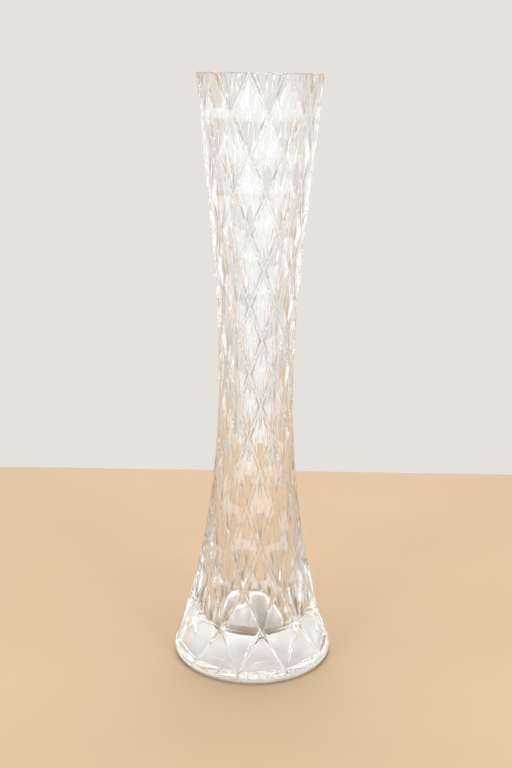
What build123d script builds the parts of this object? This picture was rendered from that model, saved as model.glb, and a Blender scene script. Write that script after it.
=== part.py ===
"""Cut crystal bud vase, in millimetres, +Z up.

The origin is the centre of the surface that the vase stands on. The vase is one piece of glass: an hourglass
with a smooth hollow and a solid bottom, whose outside is cut into rows of tall diamonds. Each row of diamond
corners is turned half a facet from the rows beside it, so a diamond is two flat triangles that meet at a
level fold. The diamonds run down to a smooth round bead at the foot.
"""
from build123d import *
from math import cos, pi, sin
import os

# Driving dimensions. The radii of the hourglass are to the corners of the diamonds.
height = 230.0
rim_radius = 23.8
neck_radius = 16.9
neck_height = 0.7 * height
waist_radius = 14.6
waist_height = 0.485 * height
knee_radius = 16.8
knee_height = 0.32 * height
foot_corner_radius = 31.4
foot_corner_height = 5.0
base_thickness = 12.0

# The cutting, in rows of diamond corners from the rim down to the foot
facets_around = 10
upper_rows = 11             # from the rim down to the long rows, each a little shorter than the one above
row_growth = 1.017
long_rows_height = 83.0
long_rows = 5               # from there down to the foot, all of one height

# The bead at the foot, and the shallow dish under it that leaves a ring to stand on
bead_radius = 31.8
bead_height = 5.4
bead_rounding = 2.5
dish_radius = 24.0
dish_depth = 0.8

# The hollow
rim_wall = 3.4
neck_wall = 4.1
waist_wall = 4.2
knee_wall = 4.6
chamber_radius = 14.6
chamber_height = 0.14 * height
floor_radius = 15.5
floor_rounding = 3.5

# The ground and polished lip
lip_chamfer = 1.5
lip_chamfer_height = 0.7
lip_rounding = 0.7


def row_heights():
    """Height of each row of diamond corners, the rim first."""
    steps = [row_growth**row for row in reversed(range(upper_rows))]
    unit = (height - long_rows_height) / sum(steps)
    heights = [height]
    for step in steps:
        heights.append(heights[-1] - unit * step)
    long_step = (long_rows_height - foot_corner_height) / long_rows
    for row in range(1, long_rows + 1):
        heights.append(long_rows_height - long_step * row)
    return heights


def corner_radius(line, level):
    """Radius at one height of a line that only climbs, found by halving."""
    low, high = 0.0, 1.0
    for _ in range(40):
        middle = (low + high) / 2
        if (line @ middle).Z < level:
            low = middle
        else:
            high = middle
    return (line @ low).X


def corner_ring(line, row, level):
    """Corners of one row. Odd rows have a corner at the front, on -Y, and even rows are half a facet on."""
    radius = corner_radius(line, level)
    turn = 2 * pi / facets_around
    start = -pi / 2 + (0 if row % 2 else turn / 2)
    return [
        Vector(radius * cos(start + turn * i), radius * sin(start + turn * i), level)
        for i in range(facets_around)
    ]


def facet_band(front_ring, turned_ring):
    """Triangles between two neighbouring rows, pointing up and down in turn."""
    zigzag = [corner for pair in zip(front_ring, turned_ring) for corner in pair]
    return [(zigzag[i - 2], zigzag[i - 1], zigzag[i]) for i in range(len(zigzag))]


def cut_hourglass():
    """The solid that all the flat facets enclose."""
    line = Spline(
        (foot_corner_radius, 0, foot_corner_height),
        (0.69 * foot_corner_radius, 0, 0.18 * height),
        (knee_radius, 0, knee_height),
        (waist_radius, 0, waist_height),
        (neck_radius, 0, neck_height),
        (rim_radius, 0, height),
    )
    rings = [corner_ring(line, row, level) for row, level in enumerate(row_heights())]
    polygons = [rings[0], rings[-1]]
    for row in range(1, len(rings)):
        front_ring, turned_ring = (rings[row], rings[row - 1]) if row % 2 else (rings[row - 1], rings[row])
        polygons += facet_band(front_ring, turned_ring)
    return Solid(Shell([Face(Wire.make_polygon(corners)) for corners in polygons]))


os.makedirs("parts", exist_ok=True)

with BuildPart() as vase_body:
    add(cut_hourglass())

    # The corners at the lip are turned down to a narrow cone
    with BuildSketch(Plane.XZ):
        with BuildLine():
            Polyline(
                (0, 0),
                (foot_corner_radius + 1, 0),
                (foot_corner_radius + 1, knee_height),
                (rim_radius, height - lip_chamfer_height),
                (rim_radius - lip_chamfer, height),
                (0, height),
                close=True,
            )
        make_face()
    revolve(axis=Axis.Z, mode=Mode.INTERSECT)

    # The bead at the foot
    with BuildSketch(Plane.XZ) as bead:
        Rectangle(bead_radius, bead_height, align=(Align.MIN, Align.MIN))
        fillet(bead.vertices().group_by(Axis.X)[-1], bead_rounding)
    revolve(axis=Axis.Z)

    # The hollow
    with BuildSketch(Plane.XZ) as hollow:
        with BuildLine():
            Line((0, base_thickness), (floor_radius, base_thickness))
            Spline(
                (floor_radius, base_thickness),
                (chamber_radius, chamber_height),
                (knee_radius - knee_wall, knee_height),
                (waist_radius - waist_wall, waist_height),
                (neck_radius - neck_wall, neck_height),
                (rim_radius - rim_wall, height),
            )
            Line((rim_radius - rim_wall, height), (0, height))
            Line((0, height), (0, base_thickness))
        make_face()
        fillet(hollow.vertices().group_by(Axis.Y)[0].sort_by(Axis.X)[-1], floor_rounding)
    revolve(axis=Axis.Z, mode=Mode.SUBTRACT)
    fillet(vase_body.edges().filter_by(GeomType.CIRCLE).group_by(Axis.Z)[-1].sort_by(SortBy.RADIUS)[0],
           lip_rounding)

    # The dish under the foot
    with BuildSketch(Plane.XZ):
        with BuildLine():
            Line((0, 0), (dish_radius, 0))
            RadiusArc((dish_radius, 0), (0, dish_depth), -(dish_radius**2 + dish_depth**2) / (2 * dish_depth))
            Line((0, dish_depth), (0, 0))
        make_face()
    revolve(axis=Axis.Z, mode=Mode.SUBTRACT)

vase_body.part.label = "vase_body"
export_step(vase_body.part, "parts/vase_body.step")
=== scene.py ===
from math import atan2, cos, hypot, pi, radians, sin, tau

import bmesh
import bpy
import numpy as np
from mathutils import Matrix, Vector
from mathutils.bvhtree import BVHTree


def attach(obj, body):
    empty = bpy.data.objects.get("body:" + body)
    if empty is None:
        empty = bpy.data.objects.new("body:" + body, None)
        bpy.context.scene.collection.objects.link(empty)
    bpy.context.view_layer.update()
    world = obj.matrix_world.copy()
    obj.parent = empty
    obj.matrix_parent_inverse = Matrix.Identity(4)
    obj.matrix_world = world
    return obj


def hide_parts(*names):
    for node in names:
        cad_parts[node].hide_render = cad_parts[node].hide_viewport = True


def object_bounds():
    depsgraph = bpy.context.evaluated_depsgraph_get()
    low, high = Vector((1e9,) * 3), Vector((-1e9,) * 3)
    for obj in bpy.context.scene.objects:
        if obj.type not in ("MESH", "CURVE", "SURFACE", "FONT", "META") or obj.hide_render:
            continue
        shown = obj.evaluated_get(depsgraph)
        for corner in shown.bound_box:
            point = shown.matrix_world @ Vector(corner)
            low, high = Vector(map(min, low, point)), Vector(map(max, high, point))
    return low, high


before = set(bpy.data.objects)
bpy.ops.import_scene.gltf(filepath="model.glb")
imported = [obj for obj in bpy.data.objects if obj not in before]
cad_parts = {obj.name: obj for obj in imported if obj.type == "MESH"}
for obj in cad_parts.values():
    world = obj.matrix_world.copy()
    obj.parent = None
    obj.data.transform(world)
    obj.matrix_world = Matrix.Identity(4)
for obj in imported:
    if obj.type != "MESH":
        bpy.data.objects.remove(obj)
cad_low, cad_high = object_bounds()

mm = 0.001

# Sizes that the CAD model gives
cad_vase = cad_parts["vase_body"]
cad_vertices = [v.co.copy() for v in cad_vase.data.vertices]
cad_surface = BVHTree.FromPolygons(cad_vertices, [tuple(p.vertices) for p in cad_vase.data.polygons])
height = cad_high.z
foot_radius = cad_high.x

# The cutting, as in the CAD model
facets_around = 10
upper_rows = 11
row_growth = 1.017
long_rows_height = 83 * mm
long_rows = 5
foot_corner_height = 5 * mm
facet_turn = tau / facets_around
ridge_half_width = 0.9 * mm      # the polished ridges that stand between the diamonds
ridge_height = 0.28 * mm
ridge_steps = 5
fold_depth_share = 0.06          # depth of a fold's middle, for its length
fold_spread = 1.8                # the ridges are this much wider beside the folds
facet_hollow = 0.3 * mm
corner_search = 0.02 * mm        # how far from its level a CAD corner is looked for
rim_search = 1.0 * mm            # the same at the rim, whose corners are ground away
shortest_facet_edge = 3 * mm

# The smooth surfaces
columns_per_facet = 12
columns = columns_per_facet * facets_around
facet_roughness = 0.0
hollow_roughness = 0.08
chamber_floor_roughness = 0.35
dish_roughness = 0.4
lip_rounding = 0.7 * mm
floor_rounding = 3.5 * mm
bead_rounding = 2.5 * mm
dish_radius = 24 * mm
hollow_rings = 90
rounding_rings = 8
shoulder_rings = 7
shoulder_corner_share = 0.994    # of the foot's radius, the corner that the shoulder rounds off
shoulder_drop = 0.1 * mm
wall_samples = 24
wall_degree = 7                  # of the smooth curve through the CAD's wall
ray_start = 0.01                 # in radians, so that no ray runs along an edge of the CAD mesh
chamber_floor_shares = (0.8, 0.6, 0.4, 0.2)
dish_shares = (0.97, 0.9, 0.8, 0.65, 0.5, 0.35, 0.2, 0.08)


def row_heights():
    """Height of each row of diamond corners, the rim first."""
    steps = [row_growth**row for row in reversed(range(upper_rows))]
    unit = (height - long_rows_height) / sum(steps)
    heights = [height]
    for step in steps:
        heights.append(heights[-1] - unit * step)
    long_step = (long_rows_height - foot_corner_height) / long_rows
    for row in range(1, long_rows + 1):
        heights.append(long_rows_height - long_step * row)
    return heights


def corner_radius(level):
    """Radius of the CAD corners at one height. The rim's are looked for just below its ground edge."""
    reach = rim_search if level == height else corner_search
    return max(hypot(v.x, v.y) for v in cad_vertices if abs(v.z - level) < reach)


def around(radius, level, count, start):
    """Points on a level circle."""
    return [
        Vector((radius * cos(start + tau * i / count), radius * sin(start + tau * i / count), level))
        for i in range(count)
    ]


def hollow_radius(level):
    """Inner radius of the CAD vase at one height, averaged over the facets of its mesh."""
    hits = []
    for direction in around(1, 0, columns, ray_start):
        hits.append(cad_surface.ray_cast(Vector((0, 0, level)), direction)[3])
    return sum(hits) / len(hits)


def hollow_profile():
    """Radius and height down the hollow: round the lip, down the wall, and round into the floor."""
    floor_height = cad_surface.ray_cast(Vector((0, 0, height / 2)), Vector((0, 0, -1)))[0].z
    top = height - lip_rounding
    bottom = floor_height + floor_rounding
    levels = np.linspace(bottom, top, wall_samples)
    wall = np.polynomial.Polynomial.fit(levels, [hollow_radius(z) for z in levels], wall_degree)
    profile = []
    for i in range(rounding_rings):
        turn = pi / 2 * i / rounding_rings
        profile.append((wall(top) + lip_rounding * (1 - sin(turn)), top + lip_rounding * cos(turn)))
    for i in range(hollow_rings + 1):
        level = top + (bottom - top) * i / hollow_rings
        profile.append((wall(level), level))
    for i in range(1, rounding_rings + 1):
        turn = pi / 2 * i / rounding_rings
        inset = floor_rounding * (1 - cos(turn))
        profile.append((wall(bottom) - inset, bottom - floor_rounding * sin(turn)))
    floor_edge = profile[-1][0]
    for share in chamber_floor_shares:
        profile.append((floor_edge * share, floor_height))
    return profile, floor_height


def bead_profile():
    """Radius and height round the foot: down the bead, across the resting ring and into the dish."""
    dish_depth = cad_surface.ray_cast(Vector((0, 0, -height)), Vector((0, 0, 1)))[0].z
    middle = bead_rounding
    profile = []
    for i in range(rounding_rings + 1):
        turn = pi / 2 * i / rounding_rings
        profile.append((foot_radius - bead_rounding * (1 - cos(turn)), middle - bead_rounding * sin(turn)))
    ring_edge = foot_radius - bead_rounding
    profile.append((ring_edge + (dish_radius - ring_edge) / 2, 0))
    profile.append((dish_radius, 0))
    for share in dish_shares:
        profile.append((dish_radius * share, dish_depth * (1 - share**2)))
    return profile, dish_depth


def join_rings(bm, first, second):
    """Quads between two rings of vertices."""
    for i in range(len(first)):
        bm.faces.new((first[i - 1], first[i], second[i], second[i - 1]))


def lathe(bm, first_ring, profile, end_height):
    """Round rings through a profile's levels, in line with the first ring, and a fan closing on the axis."""
    turns = [atan2(vertex.co.y, vertex.co.x) for vertex in first_ring]
    ring = first_ring
    for radius, level in profile:
        following = [bm.verts.new((radius * cos(turn), radius * sin(turn), level)) for turn in turns]
        join_rings(bm, ring, following)
        ring = following
    centre = bm.verts.new((0, 0, end_height))
    for i in range(len(ring)):
        bm.faces.new((ring[i - 1], ring[i], centre))


def add_corners(bm):
    """The rings of diamond corners, with a spare one above the rim.

    Rings 0, 2, 4 and so on have a corner at the front.
    """
    levels = row_heights()
    radii = [corner_radius(level) for level in levels]
    levels.insert(0, 2 * levels[0] - levels[1])
    radii.insert(0, 2 * radii[0] - radii[1])
    rings = []
    for row, (level, radius) in enumerate(zip(levels, radii)):
        start = -pi / 2 + (facet_turn / 2 if row % 2 else 0)
        rings.append([bm.verts.new(p) for p in around(radius, level, facets_around, start)])
    return rings


def flank_drop(share):
    """How far down its flank a ridge is, as a share of its height, at a share of its half width."""
    return (1 - cos(pi * share)) / 2


def facet_normal(apex, left, right):
    """Outward normal of one half of a diamond."""
    normal = (left.co - apex.co).cross(right.co - apex.co).normalized()
    return normal if normal.xy.dot(apex.co.xy) > 0 else -normal


def fold_line(bm, left, right, apexes, normal, middle_points):
    """The level fold of a diamond: the flanks of the ridges at its ends, and any points between."""
    along = right.co - left.co
    middle = (left.co + right.co) / 2
    reach = sum((middle - apex.co).length for apex in apexes) / len(apexes)
    full_share = fold_spread * ridge_half_width / (along.length * sin(atan2(reach, along.length / 2)))
    full_depth = ridge_height + fold_depth_share * along.length
    shares = [full_share * step / ridge_steps for step in range(1, ridge_steps + 1)]
    depths = [full_depth * flank_drop(step / ridge_steps) for step in range(1, ridge_steps + 1)]
    for i in range(1, middle_points + 1):
        shares.append(full_share + (1 - 2 * full_share) * i / (middle_points + 1))
        depths.append(full_depth)
    shares += [1 - share for share in reversed(shares[:ridge_steps])]
    depths += reversed(depths[:ridge_steps])
    points = [bm.verts.new(left.co + along * share - normal * depth) for share, depth in zip(shares, depths)]
    return [left, *points, right]


def add_half(bm, apex, fold, normal):
    """Half a diamond, from its fold to an apex: a barely hollow facet and the flanks of two ridges."""
    left, right = fold[0], fold[-1]
    bisector = (left.co + right.co) / 2 - apex.co
    half_angle = atan2((right.co - left.co).length / 2, bisector.length)
    bisector.normalize()
    tips = [apex]
    for step in range(1, ridge_steps + 1):
        share = step / ridge_steps
        inset = bisector * ridge_half_width * share / sin(half_angle)
        tips.append(bm.verts.new(apex.co + inset - normal * ridge_height * flank_drop(share)))
    for i in range(ridge_steps):
        bm.faces.new((tips[i], fold[i], fold[i + 1], tips[i + 1]))
        bm.faces.new((tips[i], fold[-1 - i], fold[-2 - i], tips[i + 1]))
    outline = [tips[-1], *fold[ridge_steps:-ridge_steps]]
    middle = (tips[-1].co + fold[ridge_steps].co + fold[-1 - ridge_steps].co) / 3
    centre = bm.verts.new(middle - normal * facet_hollow)
    for i in range(len(outline)):
        bm.faces.new((outline[i - 1], outline[i], centre))


def add_facets(bm, rings):
    """The halves of every diamond, above and below its level fold. Returns the cutting's lowest edge."""
    foot_edge = []
    for row, ring in enumerate(rings):
        for i, left in enumerate(ring):
            right = ring[(i + 1) % facets_around]
            between = (i + row % 2) % facets_around
            neighbours = rings[max(row - 1, 0):row] + rings[row + 1:row + 2]
            apexes = [neighbour[between] for neighbour in neighbours]
            normals = [facet_normal(apex, left, right) for apex in apexes]
            on_foot = row == len(rings) - 1
            fold_normal = sum(normals, Vector()).normalized()
            middle_points = columns_per_facet if on_foot else 0
            fold = fold_line(bm, left, right, apexes, fold_normal, middle_points)
            for apex, normal in zip(apexes, normals):
                add_half(bm, apex, fold, normal)
            if on_foot:
                foot_edge += fold[:-1]
    return foot_edge


def add_shoulder(bm, chords, bead_height):
    """The round shoulder of the foot, from the facets' lowest edge out to the widest ring of the bead."""
    ring = chords
    for step in range(1, shoulder_rings + 1):
        share = step / shoulder_rings
        following = []
        for chord in chords:
            outward = Vector((chord.co.x, chord.co.y, 0)).normalized()
            corner = outward * foot_radius * shoulder_corner_share
            corner.z = chord.co.z - shoulder_drop
            widest = outward * foot_radius + Vector((0, 0, bead_height))
            point = (1 - share) ** 2 * chord.co + 2 * share * (1 - share) * corner + share**2 * widest
            following.append(bm.verts.new(point))
        join_rings(bm, ring, following)
        ring = following
    return ring


def trim_rim(bm):
    """Cut the facets off level just below the rim. Returns the cut outline in order round the vase."""
    cut = bmesh.ops.bisect_plane(
        bm, geom=[*bm.verts, *bm.edges, *bm.faces], plane_co=(0, 0, height - lip_rounding),
        plane_no=(0, 0, 1), clear_outer=True,
    )
    cut_edges = [item for item in cut["geom_cut"] if isinstance(item, bmesh.types.BMEdge)]
    facet_edges = [edge for edge in cut_edges if edge.calc_length() > shortest_facet_edge]
    bmesh.ops.subdivide_edges(bm, edges=facet_edges, cuts=columns_per_facet)
    outline = [vertex for vertex in bm.verts if vertex.is_boundary]
    return sorted(outline, key=lambda vertex: atan2(vertex.co.y, vertex.co.x))


def add_lip(bm, outline):
    """Round the cut outline over to the flat top of the rim. Returns the last ring, at full height."""
    ring = outline
    for step in range(1, rounding_rings + 1):
        turn = pi / 2 * step / rounding_rings
        following = []
        for vertex in outline:
            scale = 1 - lip_rounding * (1 - cos(turn)) / hypot(vertex.co.x, vertex.co.y)
            level = height - lip_rounding * (1 - sin(turn))
            following.append(bm.verts.new((vertex.co.x * scale, vertex.co.y * scale, level)))
        join_rings(bm, ring, following)
        ring = following
    return ring


def vase_mesh():
    """The whole vase as one closed mesh. Each vertex carries the roughness of its surface."""
    bm = bmesh.new()
    foot_edge = add_facets(bm, add_corners(bm))
    profile, dish_depth = bead_profile()
    shoulder = add_shoulder(bm, foot_edge, profile[0][1])
    lathe(bm, shoulder, profile[1:], dish_depth)
    lip = add_lip(bm, trim_rim(bm))
    outer_vertices = len(bm.verts)
    profile, floor_height = hollow_profile()
    lathe(bm, lip, profile, floor_height)

    bm.verts.index_update()
    roughness = bm.verts.layers.float.new("roughness")
    for vertex in bm.verts:
        if vertex.index >= outer_vertices:
            on_floor = vertex.co.z < floor_height + floor_rounding / 2
            vertex[roughness] = chamber_floor_roughness if on_floor else hollow_roughness
        else:
            in_dish = vertex.co.z < 1.1 * dish_depth and vertex.co.xy.length < 0.99 * dish_radius
            vertex[roughness] = dish_roughness if in_dish else facet_roughness
    for face in bm.faces:
        face.smooth = True
    bmesh.ops.recalc_face_normals(bm, faces=bm.faces)
    mesh = bpy.data.meshes.new("crystal_vase")
    bm.to_mesh(mesh)
    bm.free()
    return mesh


# The materials
glass_tint = (0.985, 0.993, 0.99, 1)
glass_clear = (1, 1, 1, 1)
crystal_ior = 1.54
cord_scale = 60
polish_scale = 110
wave_scale = 70
wave_depth = 0.06 * mm
wear_height = 0.4 * mm
scratch_scale = 900
worn_roughness = 0.3
floor_dark = (0.46, 0.32, 0.20, 1)
floor_light = (0.50, 0.35, 0.22, 1)
grain_scale = 9
pore_scale = 300
pore_depth = 0.02 * mm
flag_dark = (0.29, 0.21, 0.165, 1)
flag_light = (0.35, 0.265, 0.215, 1)
slub_scale = 200
flag_roughness = 0.9


def new_material(name):
    """A new material, with its nodes, its links and its shader."""
    material = bpy.data.materials.new(name)
    material.use_nodes = True
    nodes = material.node_tree.nodes
    return material, nodes, material.node_tree.links, nodes["Principled BSDF"]


def map_range(nodes, links, value, start, end, low, high):
    """A value mapped from one range to another, and held at its ends."""
    mapping = nodes.new("ShaderNodeMapRange")
    mapping.inputs["From Min"].default_value = start
    mapping.inputs["From Max"].default_value = end
    mapping.inputs["To Min"].default_value = low
    mapping.inputs["To Max"].default_value = high
    links.new(value, mapping.inputs["Value"])
    return mapping.outputs["Result"]


def combine(nodes, links, operation, first, second):
    """Two outputs joined by arithmetic."""
    join = nodes.new("ShaderNodeMath")
    join.operation = operation
    links.new(first, join.inputs[0])
    links.new(second, join.inputs[1])
    return join.outputs["Value"]


def colour_mix(nodes, links, factor, first, second):
    """A mix of two colours, each a fixed colour or another node's output."""
    mix = nodes.new("ShaderNodeMix")
    mix.data_type = "RGBA"
    links.new(factor, mix.inputs["Factor"])
    for name, colour in (("A", first), ("B", second)):
        if isinstance(colour, tuple):
            mix.inputs[name].default_value = colour
        else:
            links.new(colour, mix.inputs[name])
    return mix.outputs["Result"]


def noise(nodes, links, scale, detail, stretch=(1, 1, 1)):
    """Smooth noise in the object's own metres, from 0 to 1."""
    coordinates = nodes.new("ShaderNodeTexCoord")
    placing = nodes.new("ShaderNodeMapping")
    placing.inputs["Scale"].default_value = stretch
    links.new(coordinates.outputs["Object"], placing.inputs["Vector"])
    texture = nodes.new("ShaderNodeTexNoise")
    texture.inputs["Scale"].default_value = scale
    texture.inputs["Detail"].default_value = detail
    links.new(placing.outputs["Vector"], texture.inputs["Vector"])
    return texture.outputs["Fac"]


def add_bump(nodes, links, shader, height_value, depth):
    """Bump the shader's normal by a height from 0 to 1 that stands for so much depth."""
    bump = nodes.new("ShaderNodeBump")
    bump.inputs["Strength"].default_value = 1
    bump.inputs["Distance"].default_value = depth
    links.new(height_value, bump.inputs["Height"])
    links.new(bump.outputs["Normal"], shader.inputs["Normal"])


def crystal_material():
    """Clear glass with faint cords, polished cuts, a wavy hollow and a worn ring to stand on."""
    material, nodes, links, shader = new_material("crystal")
    shader.inputs["Transmission Weight"].default_value = 1
    shader.inputs["IOR"].default_value = crystal_ior
    cords = noise(nodes, links, cord_scale, 2, (1, 1, 0.3))
    cord_share = map_range(nodes, links, cords, 0.35, 0.65, 0, 1)
    links.new(colour_mix(nodes, links, cord_share, glass_tint, glass_clear), shader.inputs["Base Color"])

    finish = nodes.new("ShaderNodeAttribute")
    finish.attribute_name = "roughness"
    unevenness = map_range(nodes, links, noise(nodes, links, polish_scale, 3), 0.3, 0.7, 0.85, 1.15)
    polish = combine(nodes, links, "MULTIPLY", finish.outputs["Fac"], unevenness)
    coordinates = nodes.new("ShaderNodeTexCoord")
    axes = nodes.new("ShaderNodeSeparateXYZ")
    links.new(coordinates.outputs["Object"], axes.inputs["Vector"])
    near_table = map_range(nodes, links, axes.outputs["Z"], 0, wear_height, 1, 0)
    scratches = map_range(nodes, links, noise(nodes, links, scratch_scale, 4), 0.45, 0.6, 0, worn_roughness)
    wear = combine(nodes, links, "MULTIPLY", near_table, scratches)
    links.new(combine(nodes, links, "ADD", polish, wear), shader.inputs["Roughness"])

    waves = combine(nodes, links, "MULTIPLY", noise(nodes, links, wave_scale, 1), finish.outputs["Fac"])
    add_bump(nodes, links, shader, waves, wave_depth)
    return material


def floor_material():
    """Pale oiled wood, with hardly any grain."""
    material, nodes, links, shader = new_material("floor")
    grain = noise(nodes, links, grain_scale, 5, (0.15, 1, 1))
    tone = map_range(nodes, links, grain, 0.3, 0.7, 0, 1)
    links.new(colour_mix(nodes, links, tone, floor_dark, floor_light), shader.inputs["Base Color"])
    links.new(map_range(nodes, links, grain, 0.3, 0.7, 0.5, 0.42), shader.inputs["Roughness"])
    add_bump(nodes, links, shader, noise(nodes, links, pore_scale, 3, (0.1, 1, 1)), pore_depth)
    return material


def flag_material():
    """Unbleached brown cloth."""
    material, nodes, links, shader = new_material("flag")
    slubs = map_range(nodes, links, noise(nodes, links, slub_scale, 2, (1, 1, 0.05)), 0.3, 0.7, 0, 1)
    links.new(colour_mix(nodes, links, slubs, flag_dark, flag_light), shader.inputs["Base Color"])
    shader.inputs["Roughness"].default_value = flag_roughness
    return material


def make_object(name, mesh, material):
    piece = bpy.data.objects.new(name, mesh)
    bpy.context.scene.collection.objects.link(piece)
    mesh.materials.append(material)
    return piece


vase = make_object("crystal_vase", vase_mesh(), crystal_material())
normals = vase.modifiers.new("facet_normals", "WEIGHTED_NORMAL")
normals.keep_sharp = True
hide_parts("vase_body")
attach(vase, "root")

# The camera stands level with the rim and looks down at the vase
camera_turn = radians(-8)
camera_distance = 1.881 * height
camera_height = height
camera_pitch = radians(15.16)
camera_roll = radians(0.87)
camera_lens = 53.9
sensor_long_side = 36.0

camera_data = bpy.data.cameras.new("camera")
camera_data.lens = camera_lens
camera_data.sensor_width = sensor_long_side
camera = bpy.data.objects.new("camera", camera_data)
bpy.context.scene.collection.objects.link(camera)
camera.matrix_world = (
    Matrix.Rotation(camera_turn, 4, "Z")
    @ Matrix.Translation((0, -camera_distance, camera_height))
    @ Matrix.Rotation(pi / 2 - camera_pitch, 4, "X")
    @ Matrix.Rotation(camera_roll, 4, "Z")
)
bpy.context.scene.camera = camera

# The floor ends a little way behind the vase, as a table does
floor_reach = 0.22
floor_width = 8 * floor_reach
floor_depth = 2 * floor_reach
floor_thickness = 0.03
floor_edge_bevel = 2 * mm
air_gap = 0.05 * mm


def floor_mesh():
    bm = bmesh.new()
    bmesh.ops.create_cube(bm, size=1)
    bmesh.ops.scale(bm, vec=(floor_width, floor_depth, floor_thickness), verts=bm.verts)
    bmesh.ops.translate(bm, vec=(0, 0, -floor_thickness / 2 - air_gap), verts=bm.verts)
    bmesh.ops.bevel(bm, geom=bm.edges, offset=floor_edge_bevel, segments=3, profile=0.5, affect="EDGES")
    mesh = bpy.data.meshes.new("floor")
    bm.to_mesh(mesh)
    bm.free()
    return mesh


floor = make_object("floor", floor_mesh(), floor_material())
floor.rotation_euler.z = camera_turn

# Two low warm flags, behind the table and just out of view, that the sloping ridges show as fine dark lines
flag_distance = 1.0
flag_edge = 0.35
flag_top = 0.02
flag_size = Vector((0.9, 0.01, 1.2))


def flag_mesh(name, side):
    bm = bmesh.new()
    bmesh.ops.create_cube(bm, size=1)
    bmesh.ops.scale(bm, vec=flag_size, verts=bm.verts)
    place = (side * (flag_edge + flag_size.x / 2), flag_distance, flag_top - flag_size.z / 2)
    bmesh.ops.translate(bm, vec=place, verts=bm.verts)
    mesh = bpy.data.meshes.new(name)
    bm.to_mesh(mesh)
    bm.free()
    return mesh


for name, side in (("left_flag", -1), ("right_flag", 1)):
    flag = make_object(name, flag_mesh(name, side), flag_material())
    flag.rotation_euler.z = camera_turn
    flag.visible_camera = False

# Soft studio light in plain pale surroundings. The two keys light the ridges. The pale cards hang in two
# rows, lower than the table, round the camera's side. They show only in reflections, not through the glass.
backdrop = (0.78, 0.76, 0.72, 1)
cool_light = (0.76, 0.88, 1.0)
white_light = (1, 1, 1)
key_turns = (-38, 36)
key_distance = 2.0
key_level = 0.9
key_size = (0.5, 0.8)
key_radiance = 11
top_distance = 0.4
top_level = 1.85
top_size = (1.1, 1.1)
top_radiance = 7.2
card_turns = (-75, 0, 75)
card_rows = (("upper_card", -0.33, 3.4), ("lower_card", -1.05, 3.6))    # name, level and radiance
card_distance = 2.0
card_size = (3.0, 0.7)
side_card_share = 0.8            # of the front cards' radiance
light_bounces = 32


def studio_world():
    world = bpy.data.worlds.new("studio")
    world.use_nodes = True
    world.node_tree.nodes["Background"].inputs["Color"].default_value = backdrop
    return world


bpy.context.scene.world = studio_world()


def soft_box(name, turn, distance, level, size, radiance, colour):
    """An area light that faces the middle of the vase, turned from the camera's side by so many degrees.

    Radiance is its brightness as seen.
    """
    data = bpy.data.lights.new(name, "AREA")
    data.shape = "RECTANGLE"
    data.size, data.size_y = size
    data.color = colour
    data.energy = radiance * pi * size[0] * size[1]
    light = bpy.data.objects.new(name, data)
    bpy.context.scene.collection.objects.link(light)
    place = Matrix.Rotation(camera_turn + radians(turn), 4, "Z") @ Vector((0, -distance, level))
    aim = Vector((0, 0, height / 2)) - place
    light.matrix_world = Matrix.Translation(place) @ aim.to_track_quat("-Z", "Y").to_matrix().to_4x4()
    light.visible_camera = False
    return light


for name, turn in zip(("left_key", "right_key"), key_turns):
    soft_box(name, turn, key_distance, key_level, key_size, key_radiance, cool_light)
soft_box("top_light", 180, top_distance, top_level, top_size, top_radiance, white_light)
for turn in card_turns:
    share = side_card_share if turn else 1
    for name, level, radiance in card_rows:
        card = soft_box(
            f"{name}_{turn}", turn, card_distance, level, card_size, radiance * share, cool_light,
        )
        card.visible_transmission = False

bpy.context.scene.view_settings.view_transform = "Standard"
bpy.context.scene.cycles.max_bounces = light_bounces
bpy.context.scene.cycles.transmission_bounces = light_bounces
bpy.context.scene.cycles.glossy_bounces = light_bounces
